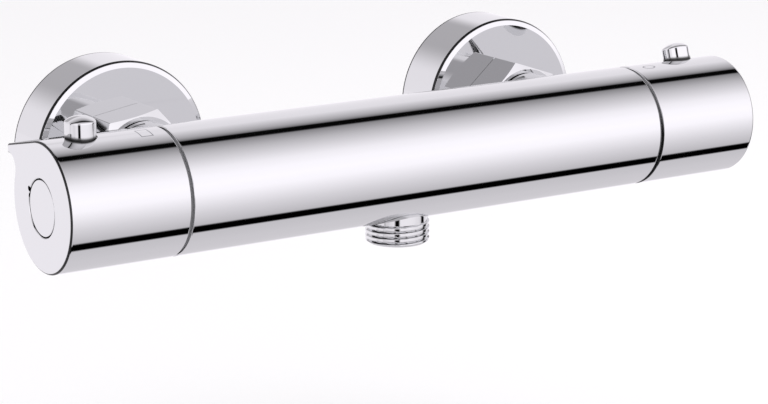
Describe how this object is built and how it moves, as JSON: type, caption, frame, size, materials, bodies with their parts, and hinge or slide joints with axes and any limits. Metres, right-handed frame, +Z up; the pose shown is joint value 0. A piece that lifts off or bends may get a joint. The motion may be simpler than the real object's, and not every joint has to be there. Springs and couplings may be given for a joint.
{
  "type": "thermostatic bar shower valve",
  "caption": "Exposed thermostatic shower mixer: a round chrome bar with flow and temperature handles, stop buttons, wall unions with flanges and a hose outlet below.",
  "frame": {"origin": "on the wall plane, midway between the axes of the two supply stubs", "axes": "+X along the bar towards the temperature handle, +Y into the wall along the stubs, +Z up"},
  "size_m": [0.258, 0.1056, 0.0604],
  "materials": {
    "chrome": "polished chrome plating on brass",
    "brass": "machined brass",
    "rubber": "moulded sealing rubber",
    "dark_plastic": "moulded bearing plastic",
    "ceramic": "lapped ceramic",
    "white_plastic": "moulded plastic",
    "blue_plastic": "moulded plastic",
    "steel": "stainless steel",
    "copper": "drawn copper"
  },
  "bodies": {
    "valve": {"valve_body": "chrome", "outlet_nipple": "chrome", "outlet_washer": "rubber", "hot_inlet_tail": "brass", "cold_inlet_tail": "brass", "hot_union_nut": "chrome", "cold_union_nut": "chrome", "hot_filter_washer": "rubber", "cold_filter_washer": "rubber", "hot_s_union": "brass", "cold_s_union": "brass", "hot_wall_flange": "chrome", "cold_wall_flange": "chrome", "hot_check_housing": "white_plastic", "cold_check_housing": "white_plastic", "hot_check_spring": "steel", "cold_check_spring": "steel", "flow_cartridge": "brass", "flow_disc_seal": "rubber", "flow_fixed_disc": "ceramic", "flow_cartridge_ring": "rubber", "flow_glide_ring": "dark_plastic", "flow_stop_ring": "white_plastic", "thermo_cartridge": "white_plastic", "thermo_cold_seat": "brass", "thermo_bonnet": "brass", "thermo_gland_nut": "brass", "thermo_rings": "rubber", "thermo_strainers": "steel", "return_spring": "steel", "warm_glide_ring": "dark_plastic", "warm_stop_ring": "white_plastic"},
    "flow_control": {"flow_handle": "chrome", "flow_handle_insert": "white_plastic", "flow_handle_screw": "steel", "flow_end_cap": "chrome", "flow_button_spring": "steel", "flow_spindle": "brass", "flow_spindle_rings": "rubber", "flow_spindle_clip": "steel", "flow_moving_disc": "ceramic"},
    "flow_button": {"flow_stop_button": "chrome"},
    "temperature_control": {"warm_handle": "chrome", "warm_handle_insert": "white_plastic", "warm_handle_screw": "steel", "warm_end_cap": "chrome", "warm_button_spring": "steel", "thermo_spindle": "brass", "thermo_spindle_rings": "rubber", "thermo_spindle_clip": "steel"},
    "temperature_button": {"warm_stop_button": "chrome"},
    "thermostat": {"thermo_pusher": "white_plastic", "overload_spring": "steel", "piston_cup": "brass", "wax_element": "copper", "thermo_spool": "white_plastic"},
    "hot_check": {"hot_check_poppet": "blue_plastic"},
    "cold_check": {"cold_check_poppet": "blue_plastic"}
  },
  "joints": [
    {"name": "flow_turn", "type": "hinge", "parent": "valve", "child": "flow_control", "pos_m": [0, -0.0725, 0.0075], "axis": [1, 0, 0], "range_deg": [0, 90]},
    {"name": "flow_button_press", "type": "slide", "parent": "flow_control", "child": "flow_button", "axis": [0, 0, -1], "range_m": [0, 0.0025], "stiffness_N_per_m": 800, "springref_m": -0.004, "deforming": ["flow_button_spring"]},
    {"name": "temperature_turn", "type": "hinge", "parent": "valve", "child": "temperature_control", "pos_m": [0, -0.0725, 0.0075], "axis": [1, 0, 0], "range_deg": [-150, 75]},
    {"name": "temperature_button_press", "type": "slide", "parent": "temperature_control", "child": "temperature_button", "axis": [0, -0.309, -0.9511], "range_m": [0, 0.0025], "stiffness_N_per_m": 800, "springref_m": -0.004, "deforming": ["warm_button_spring"]},
    {"name": "thermostat_shift", "type": "slide", "parent": "valve", "child": "thermostat", "axis": [1, 0, 0], "range_m": [-0.0013, 0.0007], "deforming": ["return_spring"]},
    {"name": "hot_check_open", "type": "slide", "parent": "valve", "child": "hot_check", "axis": [0, -1, 0], "range_m": [0, 0.0025], "stiffness_N_per_m": 40, "springref_m": -0.003, "deforming": ["hot_check_spring"]},
    {"name": "cold_check_open", "type": "slide", "parent": "valve", "child": "cold_check", "axis": [0, -1, 0], "range_m": [0, 0.0025], "stiffness_N_per_m": 40, "springref_m": -0.003, "deforming": ["cold_check_spring"]}
  ],
  "couplings": [
    {"joint": "thermostat_shift", "follows": "temperature_turn", "m_per_rad": 0.00047746}
  ]
}
